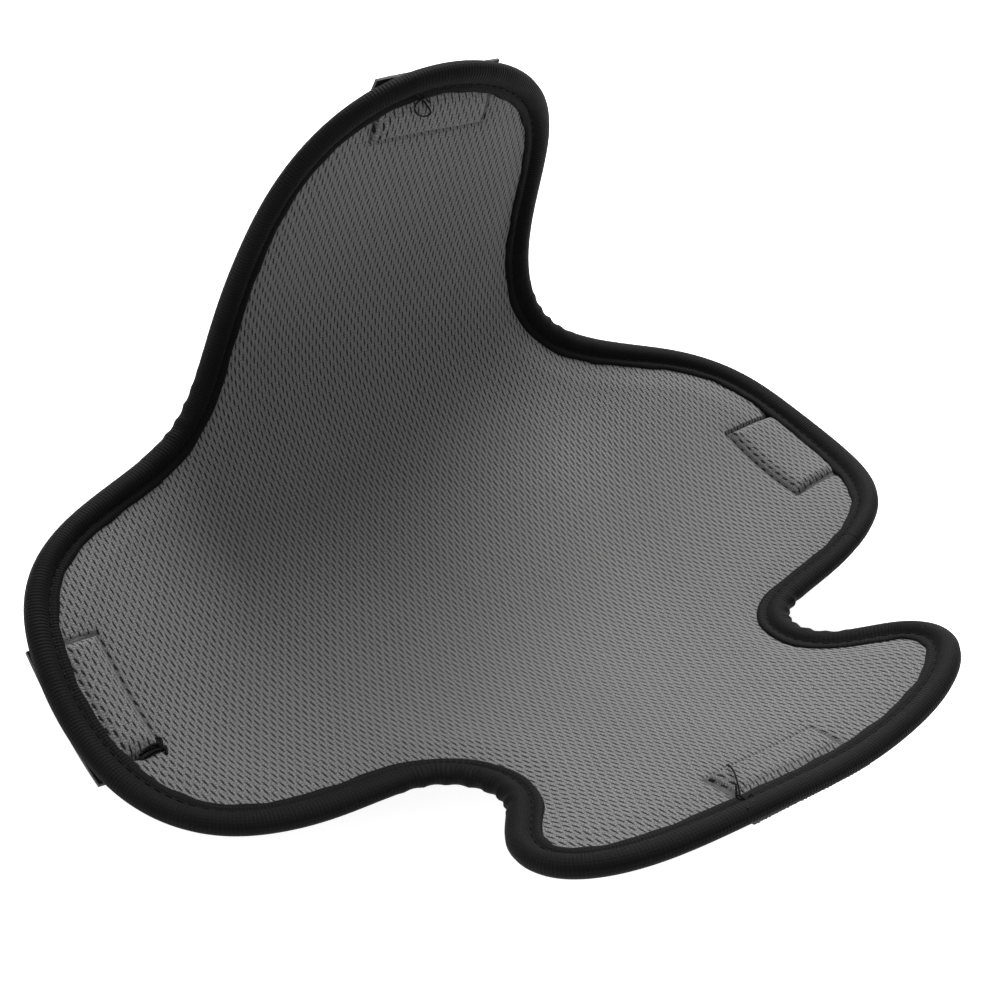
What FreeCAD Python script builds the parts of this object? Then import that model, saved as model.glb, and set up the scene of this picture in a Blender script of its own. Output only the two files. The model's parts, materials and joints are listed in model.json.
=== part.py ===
import FreeCAD, Part
import math
import os

# ---------------------------------------------------------------------------
# A soft four-lobed back pad, lying on its bowed back with the mesh face up.
# Millimetres. X is across the pad, +Y points to the tongue, +Z is up.
# The pad is one flat pattern laid on a bent surface.  A place on it is given by
#   across   distance across the flat pattern from its centre line
#   along    distance down the flat pattern from the tip of the tongue
#   above    height over the mesh face, so the layers under it are negative
# Places round the outline are counted in poles, from the tongue tip down the
# right side.
# ---------------------------------------------------------------------------

# Layers, from the body side outwards, with a thin glue line between them
MESH_THICK = 1.3
FOAM_THICK = 2.3
BACK_THICK = 0.6
GLUE_THICK = 0.2
PAD_THICK = MESH_THICK + FOAM_THICK + BACK_THICK + 2.0 * GLUE_THICK

# Edge binding: one tape folded round the edge of the three layers, which
# stop a little short of the fold
BINDING_WIDTH = 9.4
TAPE_THICK = 0.6
TAPE_GAP = 0.25
TAPE_OUTSIDE = TAPE_GAP + TAPE_THICK
TAPE_ROUND = 1.5
EDGE_INSET = 3.0

# Where the tape's two ends meet, in poles round the outline from the tongue
# tip, and the share of a pole that is left open between them
JOIN_PLACE = 1.4
JOIN_OPEN = 0.007

# Thread line that holds the binding, and how high any thread stands off
STITCH_INSET = 6.4
THREAD_WIDE = 0.8
THREAD_HIGH = 0.4
THREAD_GAP = 0.12

# Hook strips sewn on the back, one on each lobe: how far each one starts in
# from the pad's edge, and how far it sits off the middle of its lobe
STRIP_LONG = 42.0
STRIP_WIDE = 20.0
STRIP_THICK = 1.5
STRIP_START = {"top": 3.5, "left": 2.5, "right": 10.0, "bottom": 3.0}
STRIP_SHIFT = {"top": -1.0, "left": 3.0, "right": 6.0, "bottom": -2.5}
STRIP_BACK = -PAD_THICK - TAPE_OUTSIDE - THREAD_GAP
STRIP_SPARE = 2.0
SIDE_STRIP_ALONG = 177.0

# Thread line that holds each strip: how far inside the strip it runs, and how
# far in from the pad's edge its two short sides begin
FRAME_INSET = 2.0
FRAME_START = {"top": 15.0, "left": 12.5, "right": 12.5, "bottom": 11.5}

# Bunched thread outside the left strip's corner
TACK_WIDE = 3.0
TACK_LONG = 8.0
TACK_GAP = 0.3
TACK_PAST = 1.0
TACK_HIGH = 1.0

# Loose thread ends, by the top and the bottom strip
TAIL_LONG = 7.0
TOP_TAIL_SIDE = -8.0
TOP_TAIL_GAP = 1.5
BOTTOM_TAIL_GAP = 2.0

# Flat pattern: right half, as spline poles (across, along) from the tongue
# to the fan, with the two poles that lie on the centre line
TIP_POLE = -3.5
FAN_POLE = 316.5
HALF_POLES = (
    (33.0, 5.5), (53.5, 30.5), (57.0, 79.0), (67.5, 109.5), (114.0, 121.0),
    (138.0, 146.0), (140.0, 198.5), (125.0, 234.5), (90.5, 242.5), (62.0, 239.5),
    (55.0, 264.0), (75.0, 277.0), (78.0, 298.0), (54.0, 314.0),
)
HALF_WIDTH = 138.4
PATTERN_LENGTH = 315.5

# How fast the pad curls up along its length, in radians per millimetre,
# at places down the pattern, with straight runs of change between them
CURL = ((-4.0, 0.0), (58.0, 0.0042), (108.0, 0.0229), (158.0, 0.0059),
        (208.0, 0.0110), (258.0, 0.0006), (314.0, 0.0))
LEVEL_ALONG = 177.0

# How the sides cup up across the width, in radians per millimetre: an even
# cup, a little more on the right, and a twist that grows towards the fan
CUP = 0.0016
CUP_RIGHT = 0.0004
CUP_TWIST = 0.00205
TWIST_CENTRE = 170.7
TWIST_SPAN = 125.0
SIDE_BLEND = 25.0

# Fold lines, where the tongue and the fan flex
TONGUE_FOLD = 93.0
FAN_FOLD = 257.0
FOLD_GAP = 1.2
FOLD_LEAN = 12.0

# Stretches of the right outline, in poles, that hold each fold's crossing
TONGUE_SEARCH = (0.0, 7.5)
FAN_SEARCH = (9.0, 12.0)

# Modelling steps, and a reach well past the pad
GRID_STEP = 9.0
ACROSS_REACH = 153.0
ALONG_LOW = -18.0
ALONG_HIGH = 333.0
CURL_STEP = 0.5
SAMPLES_PER_POLE = 4
SECTIONS_PER_POLE = 4
SECTION_PROBE = 0.01
OFFSET_TOLERANCE = 0.01
FOLD_RUN = 0.5
FAR = 600.0


# ---------------------------------------------------------------------------
# The bent surface
# ---------------------------------------------------------------------------
def curl_rate(along):
    """Curl at one place down the pattern."""
    if along <= CURL[0][0] or along >= CURL[-1][0]:
        return 0.0
    for (low, rate_low), (high, rate_high) in zip(CURL, CURL[1:]):
        if along <= high:
            part = (along - low) / (high - low)
            return rate_low + part * (rate_high - rate_low)
    return 0.0


def trace_profile():
    """Centre-line places (along, y, z, slope), with the level point at the origin."""
    places = [(LEVEL_ALONG, 0.0, 0.0, 0.0)]
    for direction, limit in ((-1.0, ALONG_LOW - GRID_STEP), (1.0, ALONG_HIGH + GRID_STEP)):
        along, y, z, slope = LEVEL_ALONG, 0.0, 0.0, 0.0
        step = direction * CURL_STEP
        run = []
        while (limit - along) * direction > 0.0:
            middle_slope = slope + curl_rate(along + step / 4.0) * step / 2.0
            y -= math.cos(middle_slope) * step
            z += math.sin(middle_slope) * step
            slope += curl_rate(along + step / 2.0) * step
            along += step
            run.append((along, y, z, slope))
        places = run[::-1] + places if direction < 0.0 else places + run
    return places


PROFILE = trace_profile()


def profile_at(along):
    """Centre line at one place down the pattern: y, z and slope."""
    position = (along - PROFILE[0][0]) / CURL_STEP
    index = max(0, min(len(PROFILE) - 2, int(position)))
    part = position - index
    first, second = PROFILE[index], PROFILE[index + 1]
    return [first[i] + part * (second[i] - first[i]) for i in (1, 2, 3)]


def cup_rate(across, along):
    """Cup across the width at one place of the pattern."""
    side = math.tanh(across / SIDE_BLEND)
    return CUP + side * (CUP_RIGHT + CUP_TWIST * (along - TWIST_CENTRE) / TWIST_SPAN)


def place(across, along, above):
    """The point in space of one place of the pad; the pattern lies at half its thickness."""
    from_middle = above + PAD_THICK / 2.0
    y, z, slope = profile_at(along)
    rate = cup_rate(across, along)
    turn = rate * across
    if abs(turn) < 1e-6:
        sideways, lift = across, 0.0
    else:
        sideways = math.sin(turn) / rate
        lift = (1.0 - math.cos(turn)) / rate
    sideways -= from_middle * math.sin(turn)
    lift += from_middle * math.cos(turn)
    return FreeCAD.Vector(sideways, y + lift * math.sin(slope), z + lift * math.cos(slope))


def clamped_knots(low, high):
    """Knots and their middle places for a cubic spline over a stretch."""
    count = int(round((high - low) / GRID_STEP))
    knots = [low + (high - low) * i / count for i in range(count + 1)]
    full = [low] * 3 + knots + [high] * 3
    triples = [full[i + 1:i + 4] for i in range(count + 3)]
    return knots, triples


def spline_weight(triple):
    """Middle of three knots, and the spline's shift for a curve's second difference."""
    one, two, three = triple
    middle = (one + two + three) / 3.0
    spread = middle * middle - (one * two + one * three + two * three) / 3.0
    return middle, spread / 2.0


def bent_surface(above):
    """The pad's surface at one height, with pattern places as its own parameters."""
    knots_u, triples_u = clamped_knots(-ACROSS_REACH, ACROSS_REACH)
    knots_v, triples_v = clamped_knots(ALONG_LOW, ALONG_HIGH)
    probe = GRID_STEP / 2.0
    poles = []
    for triple_u in triples_u:
        across, weight_u = spline_weight(triple_u)
        row = []
        for triple_v in triples_v:
            along, weight_v = spline_weight(triple_v)
            centre = place(across, along, above)
            bow_u = place(across - probe, along, above) + place(across + probe, along, above) - centre * 2.0
            bow_v = place(across, along - probe, above) + place(across, along + probe, above) - centre * 2.0
            row.append(centre - bow_u * (weight_u / probe ** 2) - bow_v * (weight_v / probe ** 2))
        poles.append(row)
    ends_u = [4] + [1] * (len(knots_u) - 2) + [4]
    ends_v = [4] + [1] * (len(knots_v) - 2) + [4]
    surface = Part.BSplineSurface()
    surface.buildFromPolesMultsKnots(poles, ends_u, ends_v, knots_u, knots_v, False, False, 3, 3)
    return surface


SURFACES = {}


def surface_at(above):
    """One surface for each height, kept so that touching layers share it."""
    key = round(above, 4)
    if key not in SURFACES:
        SURFACES[key] = bent_surface(key)
    return SURFACES[key]


# ---------------------------------------------------------------------------
# The flat pattern
# ---------------------------------------------------------------------------
def pattern_poles():
    """All poles of the closed outline, down the right side and up the left."""
    left = [(-across, along) for across, along in reversed(HALF_POLES)]
    return [(0.0, TIP_POLE)] + list(HALF_POLES) + [(0.0, FAN_POLE)] + left


def outline_point(parameter):
    """Point and inward direction of the outline, with one unit of parameter per pole."""
    poles = pattern_poles()
    index = int(math.floor(parameter))
    t = parameter - index
    near = [poles[(index + k) % len(poles)] for k in (-1, 0, 1, 2)]
    weights = ((1 - t) ** 3, 3 * t ** 3 - 6 * t * t + 4, -3 * t ** 3 + 3 * t * t + 3 * t + 1, t ** 3)
    slopes = (-3 * (1 - t) ** 2, 9 * t * t - 12 * t, -9 * t * t + 6 * t + 3, 3 * t * t)
    across = sum(w * p[0] for w, p in zip(weights, near)) / 6.0
    along = sum(w * p[1] for w, p in zip(weights, near)) / 6.0
    run_across = sum(w * p[0] for w, p in zip(slopes, near))
    run_along = sum(w * p[1] for w, p in zip(slopes, near))
    size = math.hypot(run_across, run_along)
    return across, along, -run_along / size, run_across / size


def outline_edges(inset):
    """The outline moved inwards, as a right and a left flat curve."""
    count = len(pattern_poles())
    half = count // 2
    curves = []
    for start in (0, half):
        points = []
        for i in range(half * SAMPLES_PER_POLE + 1):
            across, along, in_across, in_along = outline_point(start + i / SAMPLES_PER_POLE)
            points.append(FreeCAD.Base.Vector2d(across + inset * in_across, along + inset * in_along))
        curve = Part.Geom2d.BSplineCurve2d()
        curve.interpolate(points)
        curves.append(curve)
    return curves


def polygon_edges(corners):
    """Straight flat edges round a list of (across, along) corners."""
    ends = [FreeCAD.Base.Vector2d(*corner) for corner in corners]
    return [Part.Geom2d.Line2dSegment(ends[i], ends[(i + 1) % len(ends)]) for i in range(len(ends))]


def laid_solid(loop, low, high):
    """A closed solid between two heights, inside one flat loop."""
    surface = surface_at(high)
    wire = Part.Wire([curve.toShape(surface) for curve in loop])
    pieces = surface.toShape().generalFuse([wire])[0].Faces
    inside = min(pieces, key=lambda piece: len(piece.Wires))
    return inside.makeOffsetShape(high - low, OFFSET_TOLERANCE, fill=True)


# ---------------------------------------------------------------------------
# Fold lines
# ---------------------------------------------------------------------------
def fold_side(fold, towards_fan):
    """A large block that holds everything on one side of a fold line, less its V gap."""
    slope = profile_at(fold)[2]
    sign = 1.0 if towards_fan else -1.0
    down = FreeCAD.Vector(0.0, -math.cos(slope), math.sin(slope)) * sign
    outwards = FreeCAD.Vector(0.0, math.sin(slope), math.cos(slope))
    lean = math.radians(FOLD_LEAN)
    wall = outwards * math.cos(lean) + down * math.sin(lean)
    away = down * math.cos(lean) - outwards * math.sin(lean)
    side = FreeCAD.Vector(FAR / 2.0, 0.0, 0.0)
    start = place(0.0, fold, -PAD_THICK - TAPE_OUTSIDE) + down * FOLD_GAP
    reach = wall * (FAR / 2.0)
    corners = [start - side - reach, start + side - reach, start + side + reach, start - side + reach]
    return Part.Face(Part.makePolygon(corners + corners[:1])).extrude(away * FAR)


def split_at_folds(solid):
    """The tongue, centre and fan parts of a solid that crosses both folds."""
    tongue = solid.common(fold_side(TONGUE_FOLD, False))
    centre = solid.common(fold_side(TONGUE_FOLD, True)).common(fold_side(FAN_FOLD, False))
    fan = solid.common(fold_side(FAN_FOLD, True))
    return {"tongue": tongue.Solids[0], "center": centre.Solids[0], "fan": fan.Solids[0]}


# ---------------------------------------------------------------------------
# Pieces
# ---------------------------------------------------------------------------
def pad_layers():
    """Mesh face, foam and back cloth, each in three parts."""
    foam_top = -MESH_THICK - GLUE_THICK
    layers = (("mesh_face", -MESH_THICK, 0.0),
              ("foam", foam_top - FOAM_THICK, foam_top),
              ("back_cloth", -PAD_THICK, BACK_THICK - PAD_THICK))
    pieces = {}
    for name, low, high in layers:
        sheet = laid_solid(outline_edges(EDGE_INSET), low, high)
        for part_name, shape in split_at_folds(sheet).items():
            pieces[name + "_" + part_name] = shape
    return pieces


def outline_place(along, start, end):
    """The outline's own measure where it passes one place down the pattern."""
    low, high = start, end
    rising = outline_point(high)[1] > outline_point(low)[1]
    for _ in range(40):
        middle = (low + high) / 2.0
        if (outline_point(middle)[1] < along) == rising:
            low = middle
        else:
            high = middle
    return (low + high) / 2.0


def edge_section(parameter, shape):
    """A (inset, above) shape cut across the outline, as a closed flat wire."""
    across, along, in_across, in_along = outline_point(parameter)
    ahead = outline_point(parameter + SECTION_PROBE)
    behind = outline_point(parameter - SECTION_PROBE)
    run = (place(ahead[0], ahead[1], 0.0) - place(behind[0], behind[1], 0.0)).normalize()
    base = place(across, along, 0.0)
    corners = []
    for inset, above in shape:
        point = place(across + inset * in_across, along + inset * in_along, above)
        corners.append(point - run * (point - base).dot(run))
    return Part.makePolygon(corners + corners[:1])


def edge_run(shape, start, end):
    """One shape carried along a stretch of the outline."""
    count = max(4, int(math.ceil(abs(end - start) * SECTIONS_PER_POLE)))
    sections = [edge_section(start + (end - start) * i / count, shape) for i in range(count + 1)]
    return Part.makeLoft(sections, True, False)


def edge_ring(stem, shape):
    """One shape carried right round the pad, open at the join and at the folds."""
    whole = len(pattern_poles())
    tongue_right = outline_place(TONGUE_FOLD, *TONGUE_SEARCH)
    fan_right = outline_place(FAN_FOLD, *FAN_SEARCH)
    tongue_left = whole - tongue_right
    fan_left = whole - fan_right
    ease = JOIN_OPEN / 2.0
    before = fold_side(TONGUE_FOLD, False)
    after = fold_side(TONGUE_FOLD, True)
    upper = fold_side(FAN_FOLD, False)
    lower = fold_side(FAN_FOLD, True)
    tip_right = edge_run(shape, JOIN_PLACE + ease, tongue_right + FOLD_RUN).common(before)
    tip_left = edge_run(shape, tongue_left - FOLD_RUN, whole + JOIN_PLACE - ease).common(before)
    right = edge_run(shape, tongue_right - FOLD_RUN, fan_right + FOLD_RUN).common(after).common(upper)
    left = edge_run(shape, fan_left - FOLD_RUN, tongue_left + FOLD_RUN).common(after).common(upper)
    fan = edge_run(shape, fan_right - FOLD_RUN, fan_left + FOLD_RUN).common(lower)
    tongue = Part.makeCompound(tip_right.Solids + tip_left.Solids)
    return {stem + "_tongue": tongue, stem + "_left": left.Solids[0],
            stem + "_right": right.Solids[0], stem + "_fan": fan.Solids[0]}


def edge_binding():
    """The tape folded round the pad's edge, open on the inside."""
    low, high = -PAD_THICK - TAPE_OUTSIDE, TAPE_OUTSIDE
    under, over = -PAD_THICK - TAPE_GAP, TAPE_GAP
    fold = EDGE_INSET - TAPE_GAP
    return edge_ring("binding", (
        (TAPE_ROUND, low), (0.0, low + TAPE_ROUND), (0.0, high - TAPE_ROUND), (TAPE_ROUND, high),
        (BINDING_WIDTH, high), (BINDING_WIDTH, over), (fold, over),
        (fold, under), (BINDING_WIDTH, under), (BINDING_WIDTH, low)))


def binding_thread():
    """The line of thread that holds the tape, on its front leg."""
    low = TAPE_OUTSIDE + THREAD_GAP
    high = low + THREAD_HIGH
    near, far = STITCH_INSET, STITCH_INSET + THREAD_WIDE
    return edge_ring("binding_stitch", ((near, low), (near, high), (far, high), (far, low)))


LOBES = ("top", "left", "right", "bottom")


def lobe_place(lobe, sideways, inwards):
    """A pattern place from its distance off a strip's middle and in from the lobe's edge."""
    shifted = sideways + STRIP_SHIFT[lobe]
    if lobe == "top":
        return shifted, inwards
    if lobe == "bottom":
        return shifted, PATTERN_LENGTH - inwards
    sign = 1.0 if lobe == "right" else -1.0
    return sign * (HALF_WIDTH - inwards), SIDE_STRIP_ALONG + shifted


def frame_depth(lobe):
    """How far in from the edge a strip's long thread line runs."""
    return STRIP_START[lobe] + STRIP_WIDE - FRAME_INSET


def flat_outside(along):
    """A large block outside the flat hook face of a strip on the pad's centre line."""
    slope = profile_at(along)[2]
    outwards = FreeCAD.Vector(0.0, -math.sin(slope), -math.cos(slope))
    down = FreeCAD.Vector(0.0, -math.cos(slope), math.sin(slope)) * (FAR / 2.0)
    side = FreeCAD.Vector(FAR / 2.0, 0.0, 0.0)
    middle = place(0.0, along, STRIP_BACK - STRIP_THICK)
    corners = [middle - side - down, middle + side - down, middle + side + down, middle - side + down]
    return Part.Face(Part.makePolygon(corners + corners[:1])).extrude(outwards * FAR)


def hook_strips():
    """A rectangular hook strip behind each lobe.

    The side strips bend with the pad.  The top and bottom ones lie on its flatter
    ends, and their hook faces are flat.
    """
    pieces = {}
    half = STRIP_LONG / 2.0
    for lobe in LOBES:
        outer = STRIP_START[lobe]
        inner = outer + STRIP_WIDE
        corners = [lobe_place(lobe, *corner) for corner in
                   ((-half, outer), (half, outer), (half, inner), (-half, inner))]
        loop = polygon_edges(corners)
        if lobe in ("left", "right"):
            strip = laid_solid(loop, STRIP_BACK - STRIP_THICK, STRIP_BACK)
        else:
            along = lobe_place(lobe, 0.0, (outer + inner) / 2.0)[1]
            thick = laid_solid(loop, STRIP_BACK - STRIP_THICK - STRIP_SPARE, STRIP_BACK)
            strip = thick.cut(flat_outside(along)).Solids[0]
        pieces["hook_strip_" + lobe] = strip
    return pieces


def strip_threads():
    """The three-sided line of thread that shows on the mesh over each strip."""
    pieces = {}
    out = STRIP_LONG / 2.0 - FRAME_INSET
    for lobe in LOBES:
        start = FRAME_START[lobe]
        deep = frame_depth(lobe)
        corners = ((-out, start), (-out, deep), (out, deep), (out, start),
                   (out - THREAD_WIDE, start), (out - THREAD_WIDE, deep - THREAD_WIDE),
                   (THREAD_WIDE - out, deep - THREAD_WIDE), (THREAD_WIDE - out, start))
        edges = polygon_edges([lobe_place(lobe, *corner) for corner in corners])
        pieces["strip_stitch_" + lobe] = laid_solid(edges, THREAD_GAP, THREAD_GAP + THREAD_HIGH)
    return pieces


def small_threads():
    """The bunched thread at the left strip's corner, and two loose thread ends."""
    out = STRIP_LONG / 2.0 - FRAME_INSET
    tack_start = (out + TACK_GAP, frame_depth("left") + TACK_PAST - TACK_LONG)
    top_start = (TOP_TAIL_SIDE, frame_depth("top") - TOP_TAIL_GAP - TAIL_LONG)
    bottom_start = (-out - BOTTOM_TAIL_GAP, frame_depth("bottom") - TAIL_LONG)
    spots = (
        ("bar_tack_left", "left", tack_start, (TACK_WIDE, TACK_LONG)),
        ("thread_end_top", "top", top_start, (THREAD_WIDE, TAIL_LONG)),
        ("thread_end_bottom", "bottom", bottom_start, (THREAD_WIDE, TAIL_LONG)),
    )
    pieces = {}
    for name, lobe, (sideways, inwards), (wide, long) in spots:
        corners = [lobe_place(lobe, *corner) for corner in
                   ((sideways, inwards), (sideways + wide, inwards),
                    (sideways + wide, inwards + long), (sideways, inwards + long))]
        pieces[name] = laid_solid(polygon_edges(corners), THREAD_GAP, TACK_HIGH)
    return pieces


def build_pad():
    """Every piece by name, with the origin at the middle of the box's underside."""
    pieces = pad_layers()
    pieces.update(edge_binding())
    pieces.update(binding_thread())
    pieces.update(hook_strips())
    pieces.update(strip_threads())
    pieces.update(small_threads())
    box = Part.makeCompound(list(pieces.values())).optimalBoundingBox(True, False)
    shift = FreeCAD.Vector(-box.Center.x, -box.Center.y, -box.ZMin)
    for shape in pieces.values():
        shape.translate(shift)
    return pieces


os.makedirs("parts", exist_ok=True)
PIECES = build_pad()
for node, shape in PIECES.items():
    shape.exportStep("parts/" + node + ".step")
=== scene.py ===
import bpy
import json
import math
import numpy as np
from mathutils import Matrix, Vector


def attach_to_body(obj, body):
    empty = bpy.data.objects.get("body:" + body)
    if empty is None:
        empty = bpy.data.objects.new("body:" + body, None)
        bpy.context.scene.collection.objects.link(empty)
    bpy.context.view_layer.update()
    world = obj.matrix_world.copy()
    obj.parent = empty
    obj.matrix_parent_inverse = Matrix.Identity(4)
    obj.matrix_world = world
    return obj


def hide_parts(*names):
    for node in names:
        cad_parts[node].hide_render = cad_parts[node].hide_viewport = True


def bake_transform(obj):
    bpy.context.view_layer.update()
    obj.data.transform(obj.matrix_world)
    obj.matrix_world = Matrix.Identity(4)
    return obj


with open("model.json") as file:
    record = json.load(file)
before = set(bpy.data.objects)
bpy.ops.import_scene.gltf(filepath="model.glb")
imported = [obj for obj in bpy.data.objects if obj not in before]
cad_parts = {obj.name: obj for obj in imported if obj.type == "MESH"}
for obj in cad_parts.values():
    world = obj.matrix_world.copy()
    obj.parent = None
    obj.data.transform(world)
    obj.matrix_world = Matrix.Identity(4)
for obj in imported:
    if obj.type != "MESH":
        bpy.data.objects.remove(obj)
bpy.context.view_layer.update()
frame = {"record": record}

# A soft four-lobed back pad: knitted mesh face, foam, back cloth, a folded
# edge binding and four hook strips.  It is drawn from its flat pattern, in
# millimetres across and along, and laid on the same bent surface as the CAD.
RECORD = frame["record"]
MM = 0.001
rng = np.random.default_rng(11)

# Design of the pad, in millimetres, as in the CAD
MESH_THICK, FOAM_THICK, BACK_THICK, GLUE_THICK = 1.3, 2.3, 0.6, 0.2
PAD_THICK = MESH_THICK + FOAM_THICK + BACK_THICK + 2.0 * GLUE_THICK
TAPE_OUTSIDE = 0.85
STITCH_INSET = 6.6
STRIP_LONG, STRIP_WIDE = 42.0, 20.0
FRAME_INSET = 2.0
SIDE_STRIP_ALONG = 177.0
HALF_WIDTH, PATTERN_LENGTH = 138.4, 315.5
TIP_POLE, FAN_POLE = -3.5, 316.5
HALF_POLES = (
    (33.0, 5.5), (53.5, 30.5), (57.0, 79.0), (67.5, 109.5), (114.0, 121.0),
    (138.0, 146.0), (140.0, 198.5), (125.0, 234.5), (90.5, 242.5), (62.0, 239.5),
    (55.0, 264.0), (75.0, 277.0), (78.0, 298.0), (54.0, 314.0),
)
CURL = ((-4.0, 0.0), (58.0, 0.0042), (108.0, 0.0229), (158.0, 0.0059),
        (208.0, 0.0110), (258.0, 0.0006), (314.0, 0.0))
LEVEL_ALONG = 177.0
CUP, CUP_RIGHT, CUP_TWIST = 0.0016, 0.0004, 0.00205
TWIST_CENTRE, TWIST_SPAN, SIDE_BLEND = 170.7, 125.0, 25.0
TONGUE_FOLD, FAN_FOLD = 93.0, 257.0
AXIS_LIFT = 1.5

# Where the cloth pieces part, and how much cloth takes up each flex
TONGUE_SPLIT, FAN_SPLIT = 112.0, 239.0
TONGUE_EASE, FAN_EASE = 15.0, 10.0

# Cloth details
MESH_COLUMN, MESH_ROW = 1.25, 3.95
GROOVE = 1.3
STITCH_DEPTH = 1.15
STRIP_GAP, STRIP_PLATE, HOOK_PITCH = 0.35, 0.8, 1.3
PATCH_PUFF = 1.6
EDGE_PINCH = 1.35
FACE_STEP = 1.0


# ---------------------------------------------------------------------------
# The bent surface
# ---------------------------------------------------------------------------
STATIONS = np.arange(-60.0, 380.0, 0.25)


def trace_profile():
    """Centre line of the bent surface: y, z and slope at each station."""
    rate = np.interp(STATIONS, [p[0] for p in CURL], [p[1] for p in CURL], 0.0, 0.0)
    step = STATIONS[1] - STATIONS[0]

    def running(values):
        total = np.concatenate([[0.0], np.cumsum((values[1:] + values[:-1]) / 2.0) * step])
        return total - np.interp(LEVEL_ALONG, STATIONS, total)
    slope = running(rate)
    return -running(np.cos(slope)), running(np.sin(slope)), slope


PROFILE_Y, PROFILE_Z, PROFILE_SLOPE = trace_profile()


def place_unshifted(across, along, above):
    """Points of the pad in metres, with its level point at the origin."""
    across, along, above = np.broadcast_arrays(np.asarray(across, float), along, above)
    from_middle = above + PAD_THICK / 2.0
    y = np.interp(along, STATIONS, PROFILE_Y)
    z = np.interp(along, STATIONS, PROFILE_Z)
    slope = np.interp(along, STATIONS, PROFILE_SLOPE)
    side = np.tanh(across / SIDE_BLEND)
    rate = CUP + side * (CUP_RIGHT + CUP_TWIST * (along - TWIST_CENTRE) / TWIST_SPAN)
    turn = rate * across
    half = turn / 2.0
    sideways = across * np.sinc(turn / np.pi) - from_middle * np.sin(turn)
    lift = across * np.sin(half) * np.sinc(half / np.pi) + from_middle * np.cos(turn)
    return np.stack([sideways, y + lift * np.sin(slope), z + lift * np.cos(slope)], -1) * MM


def fold_axis(along):
    """A fold's axis point before the pad is moved to the CAD frame."""
    slope = float(np.interp(along, STATIONS, PROFILE_SLOPE))
    point = place_unshifted(0.0, along, -PAD_THICK - TAPE_OUTSIDE)
    return point + np.array([0.0, math.sin(slope), math.cos(slope)]) * AXIS_LIFT * MM


JOINTS = {joint["name"]: joint for joint in RECORD["behaviour"]["joints"]}
SHIFT = np.array(JOINTS["tongue_flex"]["pos_m"]) - fold_axis(TONGUE_FOLD)


def place(across, along, above):
    """Points of the pad in the CAD frame, in metres."""
    return place_unshifted(across, along, above) + SHIFT


# ---------------------------------------------------------------------------
# The flat pattern
# ---------------------------------------------------------------------------
def pattern_poles():
    """All poles of the closed outline, down the right side and up the left."""
    left = [(-across, along) for across, along in reversed(HALF_POLES)]
    return np.array([(0.0, TIP_POLE), *HALF_POLES, (0.0, FAN_POLE), *left])


POLES = pattern_poles()


def outline_at(parameter):
    """Points and inward directions of the outline; one unit of parameter per pole."""
    parameter = np.asarray(parameter, float)
    index = np.floor(parameter).astype(int)
    t = parameter - index
    near = [POLES[(index + k) % len(POLES)] for k in (-1, 0, 1, 2)]
    weights = ((1 - t) ** 3, 3 * t ** 3 - 6 * t * t + 4, -3 * t ** 3 + 3 * t * t + 3 * t + 1, t ** 3)
    slopes = (-3 * (1 - t) ** 2, 9 * t * t - 12 * t, -9 * t * t + 6 * t + 3, 3 * t * t)
    point = sum(w[..., None] * p for w, p in zip(weights, near)) / 6.0
    run = sum(w[..., None] * p for w, p in zip(slopes, near))
    run /= np.linalg.norm(run, axis=-1, keepdims=True)
    return point, np.stack([-run[..., 1], run[..., 0]], -1)


def outline_stations(start, end, spacing):
    """Evenly spaced outline parameters between two places, and their lengths."""
    fine = np.linspace(start, end, 4000)
    points = outline_at(fine)[0]
    length = np.concatenate([[0.0], np.cumsum(np.linalg.norm(np.diff(points, axis=0), axis=1))])
    count = max(4, int(round(length[-1] / spacing)))
    even = np.linspace(0.0, length[-1], count + 1)
    return np.interp(even, length, fine), even


def outline_crossing(along, start, end):
    """The outline parameter where it passes one place down the pattern."""
    fine = np.linspace(start, end, 4001)
    return float(fine[np.argmin(np.abs(outline_at(fine)[0][:, 1] - along))])


EDGE_PARAMETERS = outline_stations(0.0, float(len(POLES)), 1.0)[0][:-1]
EDGE_POINTS, EDGE_INWARD = outline_at(EDGE_PARAMETERS)


def edge_distance(across, along):
    """Distance in from the outline, negative outside."""
    places = np.stack([np.ravel(across), np.ravel(along)], -1)
    result = np.empty(len(places))
    for first in range(0, len(places), 4000):
        part = places[first:first + 4000]
        gap = part[:, None, :] - EDGE_POINTS[None]
        nearest = np.argmin((gap ** 2).sum(-1), axis=1)
        chosen = gap[np.arange(len(part)), nearest]
        size = np.linalg.norm(chosen, axis=1)
        result[first:first + 4000] = size * np.sign((chosen * EDGE_INWARD[nearest]).sum(-1))
    return result.reshape(np.shape(across))


def smooth(value):
    """A smooth rise from 0 to 1."""
    value = np.clip(value, 0.0, 1.0)
    return value * value * (3.0 - 2.0 * value)


LOBES = ("top", "left", "right", "bottom")
# How far each strip is sewn off its lobe's middle and in from the pad's edge, and
# how deep the patch of stitching over it runs
STRIP_SHIFT = {"top": -1.0, "left": 3.0, "right": 6.0, "bottom": -2.5}
STRIP_START = {"top": 3.5, "left": 2.5, "right": 10.0, "bottom": 3.0}
PATCH_DEPTHS = {lobe: start + STRIP_WIDE - FRAME_INSET for lobe, start in STRIP_START.items()}


def lobe_place(lobe, sideways, inwards):
    """Pattern places near one lobe's edge, from its middle sideways and inwards."""
    sideways, inwards = np.broadcast_arrays(np.asarray(sideways, float) + STRIP_SHIFT[lobe], inwards)
    if lobe == "top":
        return sideways, inwards
    if lobe == "bottom":
        return sideways, PATTERN_LENGTH - inwards
    sign = 1.0 if lobe == "right" else -1.0
    return sign * (HALF_WIDTH - inwards), SIDE_STRIP_ALONG + sideways


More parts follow.
